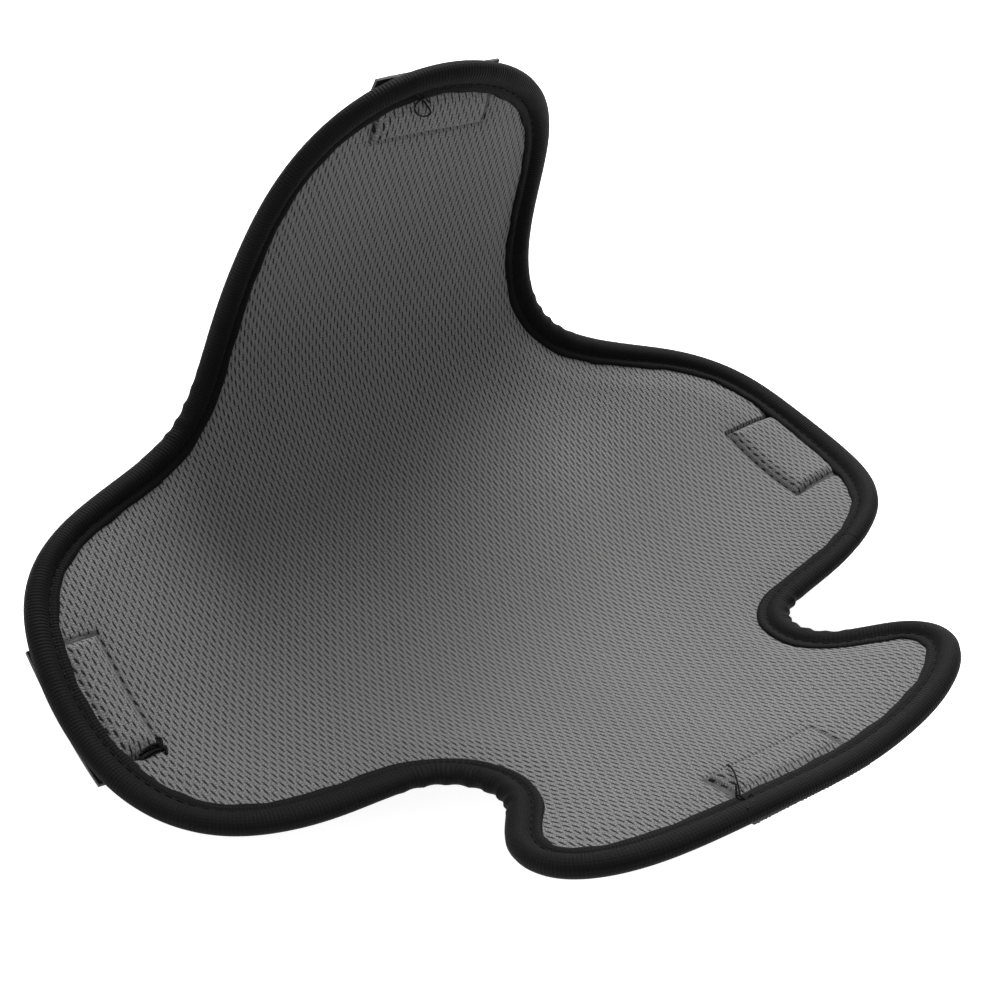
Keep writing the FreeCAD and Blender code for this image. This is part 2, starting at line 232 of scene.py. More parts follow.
def lobe_measures(lobe, across, along):
    """The reverse: sideways and inwards from pattern places."""
    shift = STRIP_SHIFT[lobe]
    if lobe == "top":
        return across - shift, along
    if lobe == "bottom":
        return across - shift, PATTERN_LENGTH - along
    sign = 1.0 if lobe == "right" else -1.0
    return along - SIDE_STRIP_ALONG - shift, HALF_WIDTH - sign * across


PATCH_HALF = STRIP_LONG / 2.0 - FRAME_INSET


# ---------------------------------------------------------------------------
# Heights of the cloth
# ---------------------------------------------------------------------------
def patch_measures(across, along):
    """Distance to the nearest patch seam, to its short sides, and inside it (0 outside)."""
    seam = np.full(np.shape(across), 1e3)
    short = np.full(np.shape(across), 1e3)
    inside = np.zeros(np.shape(across))
    for lobe in LOBES:
        sideways, inwards = lobe_measures(lobe, across, along)
        past_side = np.abs(sideways) - PATCH_HALF
        past_deep = inwards - PATCH_DEPTHS[lobe]
        to_short = np.hypot(past_side, np.maximum(past_deep, 0.0))
        to_long = np.hypot(np.maximum(past_side, 0.0), past_deep)
        seam = np.minimum(seam, np.minimum(to_short, to_long))
        short = np.minimum(short, to_short)
        inside = np.maximum(inside, np.minimum(-past_side, -past_deep))
    return seam, short, np.maximum(inside, 0.0)


def edge_pinch(inset):
    """How far the binding draws the cloth in, from each side."""
    return EDGE_PINCH * (1.0 - smooth((inset - 7.5) / 11.0))


def face_height(across, along, inset):
    """Height of the mesh face: pinched by the binding, puffed at the patches."""
    seam, short, inside = patch_measures(across, along)
    puff = PATCH_PUFF * smooth(inside / 3.4) * smooth((inset - 8.8) / 2.5)
    groove = GROOVE * (0.55 * np.exp(-(seam / 0.7) ** 2) + 0.75 * np.exp(-(short / 0.65) ** 2))
    drawn = 0.85 * np.exp(-seam / 3.4) * (inside <= 0.0)
    swell = 0.35 * np.sin(across / 31.0 + 0.7) * np.sin(along / 37.0)
    swell += 0.2 * np.sin(along / 13.0 + across / 23.0)
    swell *= smooth((inset - 10.0) / 25.0)
    return puff - groove - drawn - edge_pinch(inset) + swell


def back_height(across, along, inset):
    """Height of the back cloth, which the binding pinches too."""
    return -PAD_THICK + 0.8 * edge_pinch(inset)


def mesh_under(across, along, inset):
    """Underside of the mesh face."""
    height = face_height(across, along, inset)
    return np.minimum(height - 0.3, 0.35 * height - 0.9)


def foam_under(across, along, inset):
    """Underside of the foam, just over the back cloth."""
    return back_height(across, along, inset) + BACK_THICK + 0.05


def foam_top(across, along, inset):
    """Top of the foam, just under the mesh face."""
    return np.maximum(mesh_under(across, along, inset) - 0.05, foam_under(across, along, inset) + 0.1)


# ---------------------------------------------------------------------------
# Mesh helpers
# ---------------------------------------------------------------------------
def new_object(name, points, faces, uvs=None, normals=None, smooth_faces=True):
    """A mesh object from arrays; uvs are one pair per vertex."""
    data = bpy.data.meshes.new(name)
    data.from_pydata(np.asarray(points).tolist(), [], np.asarray(faces).tolist())
    if uvs is not None:
        layer = data.uv_layers.new(name="Pattern")
        loops = np.empty(len(data.loops), dtype=np.int32)
        data.loops.foreach_get("vertex_index", loops)
        layer.data.foreach_set("uv", np.asarray(uvs, dtype=np.float32)[loops].ravel())
    data.polygons.foreach_set("use_smooth", [smooth_faces] * len(data.polygons))
    if normals is not None:
        data.normals_split_custom_set_from_vertices(np.asarray(normals).tolist())
    data.update()
    item = bpy.data.objects.new(name, data)
    bpy.context.scene.collection.objects.link(item)
    return item


def attach(item, part, material):
    """Paint a piece; a centre piece is made to follow the centre body, and a tongue or fan piece is only
    baked where it lies.
    """
    item.data.materials.append(material)
    if part == "center":
        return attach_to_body(item, "center")
    fold, ease, sign = {"tongue": (TONGUE_FOLD, TONGUE_EASE, -1.0), "fan": (FAN_FOLD, FAN_EASE, 1.0)}[part]
    axis = fold_axis(fold) + SHIFT
    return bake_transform(item)


def part_of(along):
    """Which part of the pad a pattern place belongs to."""
    return np.where(along < TONGUE_SPLIT, "tongue", np.where(along > FAN_SPLIT, "fan", "center"))


def grid_lines(low, high, step, keep, seams):
    """Evenly spaced lines through the split lines, closer together along the seams."""
    marks = [low, *keep, high]
    lines = []
    for first, second in zip(marks, marks[1:]):
        count = max(1, int(round((second - first) / step)))
        lines.extend(np.linspace(first, second, count + 1)[:-1])
    for seam in seams:
        lines.extend(seam + np.arange(-2.0, 2.1, 0.4))
    result = []
    for line in sorted(lines + [high]):
        if not result or line - result[-1] > 0.15:
            result.append(line)
        elif line in marks:
            result[-1] = line
    return np.array(result)


def seam_lines():
    """Where the patches' seams run, as lines across and lines along."""
    across, along = [], []
    for lobe in LOBES:
        for side in (-PATCH_HALF, PATCH_HALF):
            place_across, place_along = lobe_place(lobe, side, PATCH_DEPTHS[lobe])
            across.append(float(place_across))
            along.append(float(place_along))
    return sorted(set(across)), sorted(set(along))


def laid_pieces(stem, high, low, step, inset_kept, material):
    """A soft layer between two height functions, in three parts that meet at the splits."""
    seams_across, seams_along = seam_lines() if step < 1.5 else ((), ())
    across = grid_lines(-142.0, 142.0, step, (0.0,), seams_across)
    along = grid_lines(-2.0, 320.0, step, (TONGUE_SPLIT, FAN_SPLIT), seams_along)
    grid_across, grid_along = np.meshgrid(across, along)
    inset = edge_distance(grid_across, grid_along)
    inside = inset > inset_kept
    cells = inside[:-1, :-1] & inside[1:, :-1] & inside[:-1, 1:] & inside[1:, 1:]
    middles = (along[:-1] + along[1:]) / 2.0
    names = part_of(middles)
    top = place(grid_across, grid_along, high(grid_across, grid_along, inset))
    under = place(grid_across, grid_along, low(grid_across, grid_along, inset))
    bow_across = np.gradient(top, axis=1)
    bow_along = np.gradient(top, axis=0)
    out = np.cross(bow_along, bow_across)
    out /= np.linalg.norm(out, axis=-1, keepdims=True)
    index = np.arange(grid_across.size).reshape(grid_across.shape)
    for part in ("tongue", "center", "fan"):
        chosen = cells & (names == part)[:, None]
        rows, columns = np.nonzero(chosen)
        quads = np.stack([index[rows, columns], index[rows + 1, columns],
                          index[rows + 1, columns + 1], index[rows, columns + 1]], -1)
        used = np.unique(quads)
        renumber = np.full(index.size, -1)
        renumber[used] = np.arange(len(used))
        top_faces = renumber[quads]
        edges = np.concatenate([top_faces[:, [a, (a + 1) % 4]] for a in range(4)])
        both = {}
        for first, second in edges.tolist():
            both[(first, second)] = True
        rim = [(a, b) for a, b in both if (b, a) not in both]
        count = len(used)
        under_faces = top_faces[:, ::-1] + count
        walls = np.array([(b, a, a + count, b + count) for a, b in rim])
        points = np.concatenate([top.reshape(-1, 3)[used], under.reshape(-1, 3)[used]])
        normals = np.concatenate([out.reshape(-1, 3)[used], -out.reshape(-1, 3)[used]])
        flat = np.stack([grid_across.ravel()[used], grid_along.ravel()[used]], -1)
        faces = np.concatenate([top_faces, under_faces, walls])
        item = new_object(stem + "_" + part, points, faces, np.concatenate([flat, flat]), normals)
        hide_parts(stem + "_" + part)
        attach(item, part, material)


# ---------------------------------------------------------------------------
# Materials
# ---------------------------------------------------------------------------
class Nodes:
    """Short calls for building one material's nodes."""

    def __init__(self, name, roughness, sheen=0.0, sheen_roughness=0.5, specular=0.3):
        self.material = bpy.data.materials.new(name)
        self.material.use_nodes = True
        self.tree = self.material.node_tree
        self.shader = self.tree.nodes["Principled BSDF"]
        self.shader.inputs["Roughness"].default_value = roughness
        self.shader.inputs["Sheen Weight"].default_value = sheen
        self.shader.inputs["Sheen Roughness"].default_value = sheen_roughness
        self.shader.inputs["Specular IOR Level"].default_value = specular

    def add(self, kind, **settings):
        node = self.tree.nodes.new(kind)
        for key, value in settings.items():
            setattr(node, key, value)
        return node

    def link(self, source, target):
        if isinstance(source, (int, float)):
            target.default_value = source
        else:
            self.tree.links.new(source, target)

    def math(self, operation, first, second=0.0, third=0.0):
        node = self.add("ShaderNodeMath", operation=operation)
        for value, socket in zip((first, second, third), node.inputs):
            self.link(value, socket)
        return node.outputs[0]

    def ramp(self, value, low, high, to_low=0.0, to_high=1.0):
        node = self.add("ShaderNodeMapRange", interpolation_type="SMOOTHSTEP")
        self.link(value, node.inputs["Value"])
        for key, number in (("From Min", low), ("From Max", high), ("To Min", to_low), ("To Max", to_high)):
            node.inputs[key].default_value = number
        return node.outputs["Result"]

    def pattern(self):
        """The piece's own flat coordinates, in millimetres."""
        uv = self.add("ShaderNodeUVMap", uv_map="Pattern")
        split = self.add("ShaderNodeSeparateXYZ")
        self.link(uv.outputs["UV"], split.inputs[0])
        return split.outputs["X"], split.outputs["Y"], uv.outputs["UV"]

    def noise(self, scale, detail=3.0, vector=None):
        node = self.add("ShaderNodeTexNoise")
        node.inputs["Scale"].default_value = scale
        node.inputs["Detail"].default_value = detail
        if vector is None:
            vector = self.add("ShaderNodeTexCoord").outputs["Object"]
        self.link(vector, node.inputs["Vector"])
        return node.outputs["Fac"]

    def shades(self, value, stops):
        """A colour from a value, through grey or coloured stops."""
        node = self.add("ShaderNodeValToRGB")
        self.link(value, node.inputs["Fac"])
        elements = node.color_ramp.elements
        while len(elements) < len(stops):
            elements.new(0.5)
        for element, (position, colour) in zip(elements, stops):
            element.position = position
            element.color = (*colour, 1.0)
        return node.outputs["Color"]

    def finish(self, colour, height, distance, strength=1.0):
        self.link(colour, self.shader.inputs["Base Color"])
        bump = self.add("ShaderNodeBump")
        bump.inputs["Distance"].default_value = distance
        bump.inputs["Strength"].default_value = strength
        self.link(height, bump.inputs["Height"])
        self.link(bump.outputs["Normal"], self.shader.inputs["Normal"])
        return self.material


def grey(value, warm=1.0):
    return (value * warm, value, value / warm)


def mesh_fabric():
    """Warp-knit mesh: grey wales with staggered dark slits between them."""
    n = Nodes("mesh_fabric", 0.82, sheen=0.12, sheen_roughness=0.45, specular=0.25)
    across, along, uv = n.pattern()
    waver = n.noise(0.35, 2.0, uv)
    x = n.math("DIVIDE", n.math("MULTIPLY_ADD", waver, 0.5, across), MESH_COLUMN)
    column = n.math("FLOOR", x)
    off_centre = n.math("SUBTRACT", n.math("SUBTRACT", x, column), 0.5)
    shift = n.math("MULTIPLY", n.math("FLOORED_MODULO", column, 2.0), 0.5)
    y = n.math("ADD", n.math("DIVIDE", along, MESH_ROW), shift)
    off_middle = n.math("SUBTRACT", n.math("FRACT", y), 0.5)
    slanted = n.math("MULTIPLY_ADD", off_middle, -0.35, off_centre)
    narrow = n.math("POWER", n.math("DIVIDE", slanted, 0.19), 2.0)
    long = n.math("POWER", n.math("DIVIDE", off_middle, 0.31), 2.0)
    slit = n.ramp(n.math("ADD", narrow, long), 0.85, 1.2, 1.0, 0.0)
    fray = n.noise(1.9, 3.0, uv)
    slit = n.math("MULTIPLY", slit, n.ramp(fray, 0.3, 0.5, 0.85, 1.0))
    wale = n.math("ABSOLUTE", off_centre)
    chevron = n.math("FRACT", n.math("ADD", n.math("MULTIPLY", y, 4.0), n.math("MULTIPLY", wale, 1.6)))
    loop = n.math("ABSOLUTE", n.math("SUBTRACT", chevron, 0.5))
    knit = n.math("ADD", n.math("MULTIPLY", loop, 0.9), n.math("MULTIPLY", wale, 0.7))
    grain = n.noise(2.6, 4.0, uv)
    cloud = n.noise(9.0, 4.0)
    tone = n.math("ADD", n.math("MULTIPLY", knit, 0.42), n.math("MULTIPLY_ADD", grain, 0.95, -0.31))
    tone = n.math("ADD", tone, n.math("MULTIPLY", cloud, 0.20))
    tone = n.math("MULTIPLY", tone, n.math("SUBTRACT", 1.0, n.math("MULTIPLY", slit, 0.98)))
    colour = n.shades(tone, ((0.0, grey(0.004)), (0.2, grey(0.06)), (0.5, grey(0.172)), (0.9, grey(0.33))))
    height = n.math("SUBTRACT", n.math("MULTIPLY_ADD", grain, 0.25, knit), n.math("MULTIPLY", slit, 1.6))
    return n.finish(colour, height, 0.00035, 0.8)


def binding_tape():
    """Black tape with fine ribs across it and some lint."""
    n = Nodes("binding_tape", 0.75, sheen=0.02, sheen_roughness=0.35, specular=0.13)
    run, around, uv = n.pattern()
    ribs = n.math("ABSOLUTE", n.math("SINE", n.math("MULTIPLY", run, math.pi / 1.05)))
    picks = n.math("ABSOLUTE", n.math("SINE", n.math("MULTIPLY", around, math.pi / 0.8)))
    patchy = n.noise(0.09, 3.0, uv)
    lint = n.noise(1.3, 4.0, uv)
    rib_strength = n.ramp(patchy, 0.35, 0.65, 0.35, 1.0)
    weave = n.math("ADD", n.math("MULTIPLY", ribs, rib_strength), n.math("MULTIPLY", picks, 0.25))
    tone = n.math("ADD", n.math("MULTIPLY", weave, 0.34), n.math("MULTIPLY", lint, 0.52))
    stops = ((0.0, grey(0.0005)), (0.4, grey(0.0016)), (0.75, grey(0.0045)), (1.0, grey(0.012)))
    colour = n.shades(tone, stops)
    return n.finish(colour, n.math("MULTIPLY_ADD", lint, 0.3, weave), 0.00018, 0.8)


def back_cloth():
    """Brushed loop cloth: dark, but a pale nap makes it read as mid grey in bright light."""
    n = Nodes("back_cloth", 0.9, sheen=0.25, sheen_roughness=0.6, specular=0.2)
    across, along, uv = n.pattern()
    rows = n.math("ABSOLUTE", n.math("SINE", n.math("MULTIPLY", along, math.pi / 1.1)))
    columns = n.math("ABSOLUTE", n.math("SINE", n.math("MULTIPLY", across, math.pi / 0.9)))
    fluff = n.noise(1.8, 5.0, uv)
    cloud = n.noise(14.0, 3.0)
    weave = n.math("MULTIPLY", n.math("MULTIPLY", rows, columns), 0.4)
    nap = n.math("ADD", weave, n.math("MULTIPLY", fluff, 0.6))
    tone = n.math("MULTIPLY_ADD", cloud, 0.3, n.math("MULTIPLY", nap, 0.7))
    colour = n.shades(tone, ((0.2, grey(0.008)), (0.5, grey(0.020)), (0.9, grey(0.045))))
    return n.finish(colour, nap, 0.0004)


def foam():
    """Closed-cell foam with fine pores."""
    n = Nodes("foam", 0.75, specular=0.25)
    cells = n.add("ShaderNodeTexVoronoi")
    cells.inputs["Scale"].default_value = 900.0
    n.link(n.add("ShaderNodeTexCoord").outputs["Object"], cells.inputs["Vector"])
    size = cells.outputs["Distance"]
    tone = n.math("MULTIPLY_ADD", n.noise(30.0), 0.4, size)
    colour = n.shades(tone, ((0.1, grey(0.03)), (0.9, grey(0.07))))
    return n.finish(colour, size, 0.0003)


def hook_tape():
    """Black woven nylon ground under the hooks."""
    n = Nodes("hook_tape", 0.5, specular=0.4)
    across, along, uv = n.pattern()
    rows = n.math("ABSOLUTE", n.math("SINE", n.math("MULTIPLY", along, math.pi / 0.6)))
    columns = n.math("ABSOLUTE", n.math("SINE", n.math("MULTIPLY", across, math.pi / 0.6)))
    weave = n.math("MULTIPLY", rows, columns)
    dust = n.noise(0.8, 4.0, uv)
    tone = n.math("MULTIPLY_ADD", weave, 0.5, n.math("MULTIPLY", dust, 0.5))
    colour = n.shades(tone, ((0.1, grey(0.006)), (0.6, grey(0.016)), (1.0, grey(0.035))))
    return n.finish(colour, weave, 0.0002)


def thread():
    """Black twisted polyester thread."""
    n = Nodes("thread", 0.6, specular=0.15)
    run, around, uv = n.pattern()
    twist = n.math("SINE", n.math("MULTIPLY", n.math("ADD", run, around), 2.0 * math.pi / 0.45))
    fuzz = n.noise(2.5, 3.0, uv)
    tone = n.math("MULTIPLY_ADD", twist, 0.25, n.math("MULTIPLY", fuzz, 0.9))
    colour = n.shades(tone, ((0.1, grey(0.001)), (0.9, grey(0.007))))
    return n.finish(colour, twist, 0.0001)


MATERIALS = {"mesh_fabric": mesh_fabric(), "binding_tape": binding_tape(), "back_cloth": back_cloth(),
             "foam": foam(), "hook_tape": hook_tape(), "thread": thread()}


# ---------------------------------------------------------------------------
# Binding
# ---------------------------------------------------------------------------
# Half of the folded tape's section, from under its front lip to its edge:
# (distance in from the outline, height over the mesh face)
HALF_SECTION = (
    (9.4, -2.1), (9.5, -1.35), (9.15, -0.8), (8.5, -0.55), (7.7, -0.6), (7.05, -0.9),
    (6.6, -1.15), (6.15, -0.85), (5.5, -0.25), (4.6, 0.2), (3.6, 0.4), (2.6, 0.3),
    (1.6, -0.12), (0.75, -0.8), (0.2, -1.65),
)


def tape_profile():
    """The whole closed section, front and back halves about the pad's middle."""
    middle = -PAD_THICK / 2.0
    front = [(inset, above) for inset, above in HALF_SECTION]
    back = [(inset, 2.0 * middle - above) for inset, above in reversed(HALF_SECTION)]
    return np.array(front + back)


SECTION = tape_profile()


def outline_bend(parameters):
    """How sharply the outline turns inwards at each station, positive in the notches."""
    ahead, inward_ahead = outline_at(parameters + 0.05)
    behind, inward_behind = outline_at(parameters - 0.05)
    run = ahead - behind
    length = np.linalg.norm(run, axis=-1)
    return ((inward_ahead - inward_behind) * run).sum(-1) / length ** 2


def tape_sweep(name, part, start, end):
    """The folded tape along one stretch of the outline, puckered in the notches."""
    parameters, length = outline_stations(start, end, 0.8)
    point, inward = outline_at(parameters)
    travel = length + start * 37.0
    notch = smooth((outline_bend(parameters) - 0.012) / 0.03)
    wander = np.sin(travel / 9.0) * 0.10 + np.sin(travel / 23.0 + 1.3) * 0.16
    pucker = np.abs(np.sin(travel * math.pi / 5.2)) * notch * 0.9
    inset = np.repeat(SECTION[None, :, 0], len(parameters), 0)
    above = np.repeat(SECTION[None, :, 1], len(parameters), 0)
    outer = smooth((6.0 - inset) / 6.0)
    middle = -PAD_THICK / 2.0
    plump = 1.0 + 0.04 * np.sin(travel / 17.0) + 0.05 * np.sin(travel / 5.7) * notch
    above = middle + (above - middle) * plump[:, None]
    inset = inset + outer * (wander + pucker - 0.4 * notch)[:, None]
    lip = smooth((inset - 8.0) / 1.2)
    inset = inset + lip * (0.18 * np.sin(travel / 3.1) + 0.12 * np.sin(travel / 1.7 + 1.0))[:, None]
    across = point[:, None, 0] + inset * inward[:, None, 0]
    along = point[:, None, 1] + inset * inward[:, None, 1]
    points = place(across, along, above)
    rows, ring = points.shape[:2]
    around = np.concatenate([[0.0], np.cumsum(np.linalg.norm(np.diff(SECTION, axis=0), axis=1))])
    first = np.arange(rows - 1)[:, None] * ring + np.arange(ring)
    beside = np.arange(rows - 1)[:, None] * ring + (np.arange(ring) + 1) % ring
    faces = np.stack([first, beside, beside + ring, first + ring], -1).reshape(-1, 4)
    uvs = np.stack(np.broadcast_arrays(travel[:, None], around[None, :]), -1).reshape(-1, 2)
    item = new_object(name, points.reshape(-1, 3), faces, uvs)
    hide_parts(name)
    return attach(item, part, MATERIALS["binding_tape"])


TONGUE_CROSSING = outline_crossing(TONGUE_SPLIT, 2.0, 5.0)
FAN_CROSSING = outline_crossing(FAN_SPLIT, 6.5, 9.0)
ROUND = float(len(POLES))
STRETCHES = (
    ("tongue", "tongue", ROUND - TONGUE_CROSSING, ROUND + TONGUE_CROSSING),
    ("right", "center", TONGUE_CROSSING, FAN_CROSSING),
    ("fan", "fan", FAN_CROSSING, ROUND - FAN_CROSSING),
    ("left", "center", ROUND - FAN_CROSSING, ROUND - TONGUE_CROSSING),
)


# ---------------------------------------------------------------------------
# Threads
# ---------------------------------------------------------------------------
def thread_tubes(runs, radius, sides=6):
    """Round threads along point runs, with closed tapered ends: points, faces, uvs."""
    all_points, all_faces, all_uvs, base = [], [], [], 0
    angles = np.arange(sides) * 2.0 * math.pi / sides
    for run in runs:
        run = np.asarray(run, float)
        ahead = np.gradient(run, axis=0)
        ahead /= np.linalg.norm(ahead, axis=1, keepdims=True)
        guide = np.array([0.31, 0.42, 0.85])
        side = np.cross(ahead, guide)
        side /= np.linalg.norm(side, axis=1, keepdims=True)
        upward = np.cross(side, ahead)
        thick = np.full(len(run), radius)
        thick[0] = thick[-1] = radius * 0.35
        ring = side[:, None] * np.cos(angles)[None, :, None]
        ring = ring + upward[:, None] * np.sin(angles)[None, :, None]
        points = run[:, None] + ring * thick[:, None, None]
        length = np.concatenate([[0.0], np.cumsum(np.linalg.norm(np.diff(run, axis=0), axis=1))]) / MM
        first = np.arange(len(run) - 1)[:, None] * sides + np.arange(sides)
        beside = np.arange(len(run) - 1)[:, None] * sides + (np.arange(sides) + 1) % sides
        quads = np.stack([first, beside, beside + sides, first + sides], -1).reshape(-1, 4) + base
        all_faces.extend(quads.tolist())
        all_faces.append([base + k for k in range(sides)][::-1])
        all_faces.append([base + (len(run) - 1) * sides + k for k in range(sides)])
        all_points.append(points.reshape(-1, 3))
        uvs = np.stack(np.broadcast_arrays(length[:, None], angles[None, :] * 0.1), -1)
        all_uvs.append(uvs.reshape(-1, 2))
        base += len(run) * sides
    return np.concatenate(all_points), all_faces, np.concatenate(all_uvs)


def thread_object(name, part, runs, radius, node=None):
    """One object of thread, standing for its CAD node."""
    points, faces, uvs = thread_tubes(runs, radius)
    data = bpy.data.meshes.new(name)
    data.from_pydata(points.tolist(), [], faces)
    layer = data.uv_layers.new(name="Pattern")
    loops = np.empty(len(data.loops), dtype=np.int32)
    data.loops.foreach_get("vertex_index", loops)
    layer.data.foreach_set("uv", uvs.astype(np.float32)[loops].ravel())
    data.polygons.foreach_set("use_smooth", [True] * len(data.polygons))
    item = bpy.data.objects.new(name, data)
    bpy.context.scene.collection.objects.link(item)
    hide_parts(node or name)
    return attach(item, part, MATERIALS["thread"])


def stitch_runs(places, stitch, gap, lift, dip):
    """Short stitches along a flat line: each rises out of the cloth and dips back."""
    places = np.asarray(places, float)
    length = np.concatenate([[0.0], np.cumsum(np.linalg.norm(np.diff(places, axis=0), axis=1))])
    count = int(length[-1] / (stitch + gap))
    shape = np.array([0.0, 0.15, 0.5, 0.85, 1.0])
    rise = np.array([-dip, lift * 0.7, lift, lift * 0.7, -dip])
    runs = []
    for number in range(count):
        spots = length[-1] * (number + 0.5) / count + (shape - 0.5) * stitch
        runs.append((np.interp(spots, length, places[:, 0]), np.interp(spots, length, places[:, 1]), rise))
    return runs


def binding_stitches(name, part, start, end):
    """Both rows of stitches through the binding, in its front and back grooves."""
    parameters, _ = outline_stations(start, end, 0.7)
    point, inward = outline_at(parameters)
    line = point + inward * STITCH_INSET
    runs = []
    for across, along, rise in stitch_runs(line, 2.4, 0.8, 0.2, 0.5):
        runs.append(place(across, along, rise - STITCH_DEPTH))
        runs.append(place(across, along, -PAD_THICK + STITCH_DEPTH - rise))
    return thread_object(name, part, runs, 0.00020)


def patch_lines(lobe):
    """The three stitch lines over one strip, each with how proud its stitches lie."""
    deep = PATCH_DEPTHS[lobe]
    corners = [(-PATCH_HALF, 9.0), (-PATCH_HALF, deep), (PATCH_HALF, deep), (PATCH_HALF, 9.0)]
    lines = []
    for first, second, lift in zip(corners, corners[1:], (0.14, -0.12, 0.14)):
        part = np.linspace(0.0, 1.0, 30)[:, None]
        side, deep_at = (np.array(first) * (1.0 - part) + np.array(second) * part).T
        lines.append((np.stack(lobe_place(lobe, side, deep_at), -1), lift))
    return lines


LOBE_PARTS = {"top": "tongue", "left": "center", "right": "center", "bottom": "fan"}


def patch_stitches(lobe):
    """Stitches that hold a strip, sunk in the groove round the patch."""
    runs = []
    for line, lift in patch_lines(lobe):
        for across, along, rise in stitch_runs(line, 2.7, 0.2, lift, 0.4):
            inset = edge_distance(across, along)
            runs.append(place(across, along, face_height(across, along, inset) + rise))
    name = "strip_stitch_" + lobe
    return thread_object(name, LOBE_PARTS[lobe], runs, 0.00022)


def surface_run(lobe, spots, lift, steps=28):
    """A smooth thread line over the mesh through a few (sideways, inwards, height) spots."""
    spots = np.asarray(spots, float)
    fine = np.linspace(0.0, len(spots) - 1.0, steps)
    padded = np.concatenate([spots[:1], spots, spots[-1:]])
    result = []
    for value in fine:
        k = min(int(value), len(spots) - 2)
        t = value - k
        a, b, c, d = padded[k:k + 4]
        result.append(0.5 * (2 * b + (c - a) * t + (2 * a - 5 * b + 4 * c - d) * t * t
                             + (3 * b - a - 3 * c + d) * t ** 3))
    result = np.array(result)
    across, along = lobe_place(lobe, result[:, 0], result[:, 1])
    inset = edge_distance(across, along)
    return place(across, along, face_height(across, along, inset) + lift + result[:, 2])


def bar_tack():
    """Thread bunched at the left strip's corner, where the stitching turned."""
    runs = []
    deep = PATCH_DEPTHS["left"]
    for number in range(9):
        side = PATCH_HALF + rng.uniform(-0.8, 1.4)
        start = deep + 0.6 - rng.uniform(0.0, 1.2)
        reach = rng.uniform(4.5, 7.5)
        drift = rng.uniform(-0.3, 0.9)
        spots = [(side, start, -0.2), (side + drift * 0.5, start - reach * 0.5, 0.3 + 0.08 * number),
                 (side + drift, start - reach, -0.2)]
        runs.append(surface_run("left", spots, 0.1, 12))
    for number in range(8):
        inwards = deep + 0.4 - 0.3 * number % 1.3
        side = PATCH_HALF - 3.6 + 0.55 * number
        spots = [(side, inwards, -0.1), (side + 1.5, inwards + 0.4, 0.7), (side + 3.0, inwards + 0.2, -0.1)]
        runs.append(surface_run("left", spots, 0.1, 10))
    return thread_object("bar_tack_left", "center", runs, 0.00040)


def thread_ends():
    """The loose ends left on the mesh: a small loop at the top, two tails at the bottom."""
    loop = [(-13.0, 6.0, 0.4), (-10.5, 6.0, 1.0), (-7.0, 8.5, 1.0), (-4.0, 12.0, 0.8), (-6.5, 12.6, 1.0),
            (-9.6, 10.6, 1.2), (-7.2, 7.6, 1.4), (-4.6, 9.5, 1.0)]
    thread_object("thread_end_top", "tongue", [surface_run("top", loop, 0.3, 40)], 0.00026)
    tail = [(-13.0, 19.5, 0.4), (-15.5, 14.5, 0.9), (-19.0, 9.0, 1.2), (-21.0, 5.0, 1.4), (-24.0, 2.0, 1.2)]
    stub = [(-17.5, 12.0, 0.6), (-20.5, 8.5, 1.6), (-18.0, 6.0, 1.4), (-21.5, 3.5, 1.2)]
    runs = [surface_run("bottom", tail, 0.3, 30), surface_run("bottom", stub, 0.3, 18)]
    thread_object("thread_end_bottom", "fan", runs, 0.00024)


